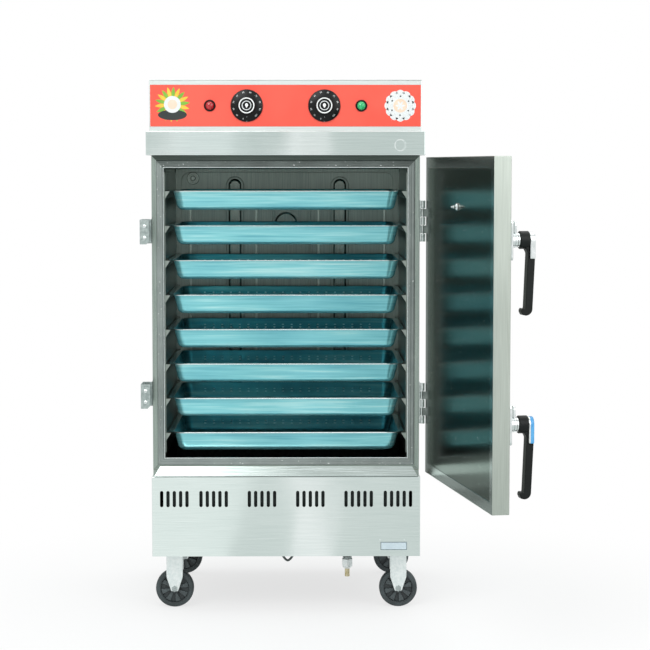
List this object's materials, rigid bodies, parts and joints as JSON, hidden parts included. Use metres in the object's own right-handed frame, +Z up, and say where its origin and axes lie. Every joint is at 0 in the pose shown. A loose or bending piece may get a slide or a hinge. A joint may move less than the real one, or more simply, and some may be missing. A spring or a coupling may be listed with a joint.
{
  "type": "rice steamer cabinet",
  "caption": "Stainless steam cabinet on castors with one insulated door standing open, a rack of shallow perforated trays, and a red control panel above.",
  "frame": {"origin": "on the floor, below the middle of the whole object's box with the door in its open rest place", "axes": "+Z up, the control panel and door opening face -Y, the door hangs on the +X side"},
  "size_m": [0.9188, 1.2532, 1.3464],
  "materials": {
    "black_plastic": "moulded black plastic",
    "brass": "turned brass, nickel wash",
    "brushed_steel": "satin stainless sheet, fine vertical brushing",
    "chrome": "chromed die casting",
    "filmed_steel": "thin stainless under its turquoise protective film",
    "galvanised": "galvanised sheet, dull spangle",
    "green_lens": "clear green lens",
    "mineral_wool": "mineral wool slab",
    "mirror_steel": "bright annealed stainless, almost a mirror",
    "red_lens": "clear red lens",
    "red_panel": "printed coral red panel, satin",
    "silicone": "extruded grey silicone seal",
    "wheel_rubber": "moulded dark grey rubber",
    "zinc": "bright zinc plated pressed steel"
  },
  "bodies": {
    "cabinet": {"base_skirt": "brushed_steel", "floor_pan": "galvanised", "drip_ledge": "brushed_steel", "outer_casing": "brushed_steel", "back_panel": "brushed_steel", "chamber_liner": "brushed_steel", "insulation_jacket": "mineral_wool", "door_jamb": "brushed_steel", "door_seal": "silicone", "water_tank": "brushed_steel", "heater_element": "galvanised", "drain_fitting": "brass", "underfloor_lead": "black_plastic", "runner_rack_left": "brushed_steel", "runner_rack_right": "brushed_steel", "header_canopy": "brushed_steel", "control_housing": "brushed_steel", "control_lid": "brushed_steel", "control_fascia": "red_panel", "supply_gland": "black_plastic", "lamp_red": "red_lens", "lamp_green": "green_lens", "timer_unit": "black_plastic", "thermostat_unit": "black_plastic", "keeper_upper": "zinc", "keeper_lower": "zinc", "hinge_frame_leaf_upper": "brushed_steel", "hinge_frame_leaf_lower": "brushed_steel", "front_castor_fork_left": "zinc", "front_castor_fork_right": "zinc", "rear_castor_plate_left": "zinc", "rear_castor_plate_right": "zinc"},
    "door": {"door_outer_pan": "brushed_steel", "door_inner_panel": "mirror_steel", "door_insulation": "mineral_wool", "door_vent_valve": "chrome", "hinge_door_leaf_upper": "brushed_steel", "hinge_door_leaf_lower": "brushed_steel", "handle_base_upper": "brushed_steel", "handle_base_lower": "brushed_steel"},
    "handle_upper": {"handle_spindle_upper": "chrome", "handle_grip_upper": "black_plastic"},
    "handle_lower": {"handle_spindle_lower": "chrome", "handle_grip_lower": "black_plastic"},
    "timer_dial": {"timer_knob": "black_plastic"},
    "thermostat_dial": {"thermostat_knob": "black_plastic"},
    "front_wheel_left_body": {"front_wheel_left": "wheel_rubber"},
    "front_wheel_right_body": {"front_wheel_right": "wheel_rubber"},
    "rear_fork_left_body": {"rear_castor_fork_left": "zinc"},
    "rear_fork_right_body": {"rear_castor_fork_right": "zinc"},
    "rear_wheel_left_body": {"rear_wheel_left": "wheel_rubber"},
    "rear_wheel_right_body": {"rear_wheel_right": "wheel_rubber"},
    "tray_1_body": {"tray_1": "filmed_steel"},
    "tray_2_body": {"tray_2": "filmed_steel"},
    "tray_3_body": {"tray_3": "filmed_steel"},
    "tray_4_body": {"tray_4": "filmed_steel"},
    "tray_5_body": {"tray_5": "filmed_steel"},
    "tray_6_body": {"tray_6": "filmed_steel"},
    "tray_7_body": {"tray_7": "filmed_steel"},
    "tray_8_body": {"tray_8": "filmed_steel"}
  },
  "joints": [
    {"name": "door_swing", "type": "hinge", "parent": "cabinet", "child": "door", "pos_m": [0.24717, 0.03925, 0.3605], "axis": [0, 0, 1], "range_deg": [-99.5, 70.5]},
    {"name": "handle_upper_turn", "type": "hinge", "parent": "door", "child": "handle_upper", "pos_m": [0.40488, -0.59238, 0.969], "axis": [0.9863, 0.165, 0], "range_deg": [0, 90]},
    {"name": "handle_lower_turn", "type": "hinge", "parent": "door", "child": "handle_lower", "pos_m": [0.40488, -0.59238, 0.559], "axis": [0.9863, 0.165, 0], "range_deg": [0, 90]},
    {"name": "timer_turn", "type": "hinge", "parent": "cabinet", "child": "timer_dial", "pos_m": [-0.19453, 0.02735, 1.2822], "axis": [0, 1, 0], "range_deg": [0, 330]},
    {"name": "thermostat_turn", "type": "hinge", "parent": "cabinet", "child": "thermostat_dial", "pos_m": [-0.00113, 0.02735, 1.2822], "axis": [0, 1, 0], "range_deg": [0, 300]},
    {"name": "tray_1_slide", "type": "slide", "parent": "cabinet", "child": "tray_1_body", "axis": [0, -1, 0], "range_m": [0, 0.38]},
    {"name": "tray_2_slide", "type": "slide", "parent": "cabinet", "child": "tray_2_body", "axis": [0, -1, 0], "range_m": [0, 0.38]},
    {"name": "tray_3_slide", "type": "slide", "parent": "cabinet", "child": "tray_3_body", "axis": [0, -1, 0], "range_m": [0, 0.38]},
    {"name": "tray_4_slide", "type": "slide", "parent": "cabinet", "child": "tray_4_body", "axis": [0, -1, 0], "range_m": [0, 0.38]},
    {"name": "tray_5_slide", "type": "slide", "parent": "cabinet", "child": "tray_5_body", "axis": [0, -1, 0], "range_m": [0, 0.38]},
    {"name": "tray_6_slide", "type": "slide", "parent": "cabinet", "child": "tray_6_body", "axis": [0, -1, 0], "range_m": [0, 0.38]},
    {"name": "tray_7_slide", "type": "slide", "parent": "cabinet", "child": "tray_7_body", "axis": [0, -1, 0], "range_m": [0, 0.38]},
    {"name": "tray_8_slide", "type": "slide", "parent": "cabinet", "child": "tray_8_body", "axis": [0, -1, 0], "range_m": [0, 0.38]},
    {"name": "front_wheel_left_roll", "type": "hinge", "parent": "cabinet", "child": "front_wheel_left_body", "pos_m": [-0.38533, 0.11525, 0.04878], "axis": [0, 1, 0], "continuous": true},
    {"name": "rear_castor_left_swivel", "type": "hinge", "parent": "cabinet", "child": "rear_fork_left_body", "pos_m": [-0.35733, 0.55525, 0.1297], "axis": [0, 0, 1], "continuous": true},
    {"name": "rear_wheel_left_roll", "type": "hinge", "parent": "rear_fork_left_body", "child": "rear_wheel_left_body", "pos_m": [-0.38533, 0.55525, 0.04878], "axis": [0, 1, 0], "continuous": true},
    {"name": "front_wheel_right_roll", "type": "hinge", "parent": "cabinet", "child": "front_wheel_right_body", "pos_m": [0.18967, 0.11525, 0.04878], "axis": [0, 1, 0], "continuous": true},
    {"name": "rear_castor_right_swivel", "type": "hinge", "parent": "cabinet", "child": "rear_fork_right_body", "pos_m": [0.16167, 0.55525, 0.1297], "axis": [0, 0, 1], "continuous": true},
    {"name": "rear_wheel_right_roll", "type": "hinge", "parent": "rear_fork_right_body", "child": "rear_wheel_right_body", "pos_m": [0.18967, 0.55525, 0.04878], "axis": [0, 1, 0], "continuous": true}
  ]
}
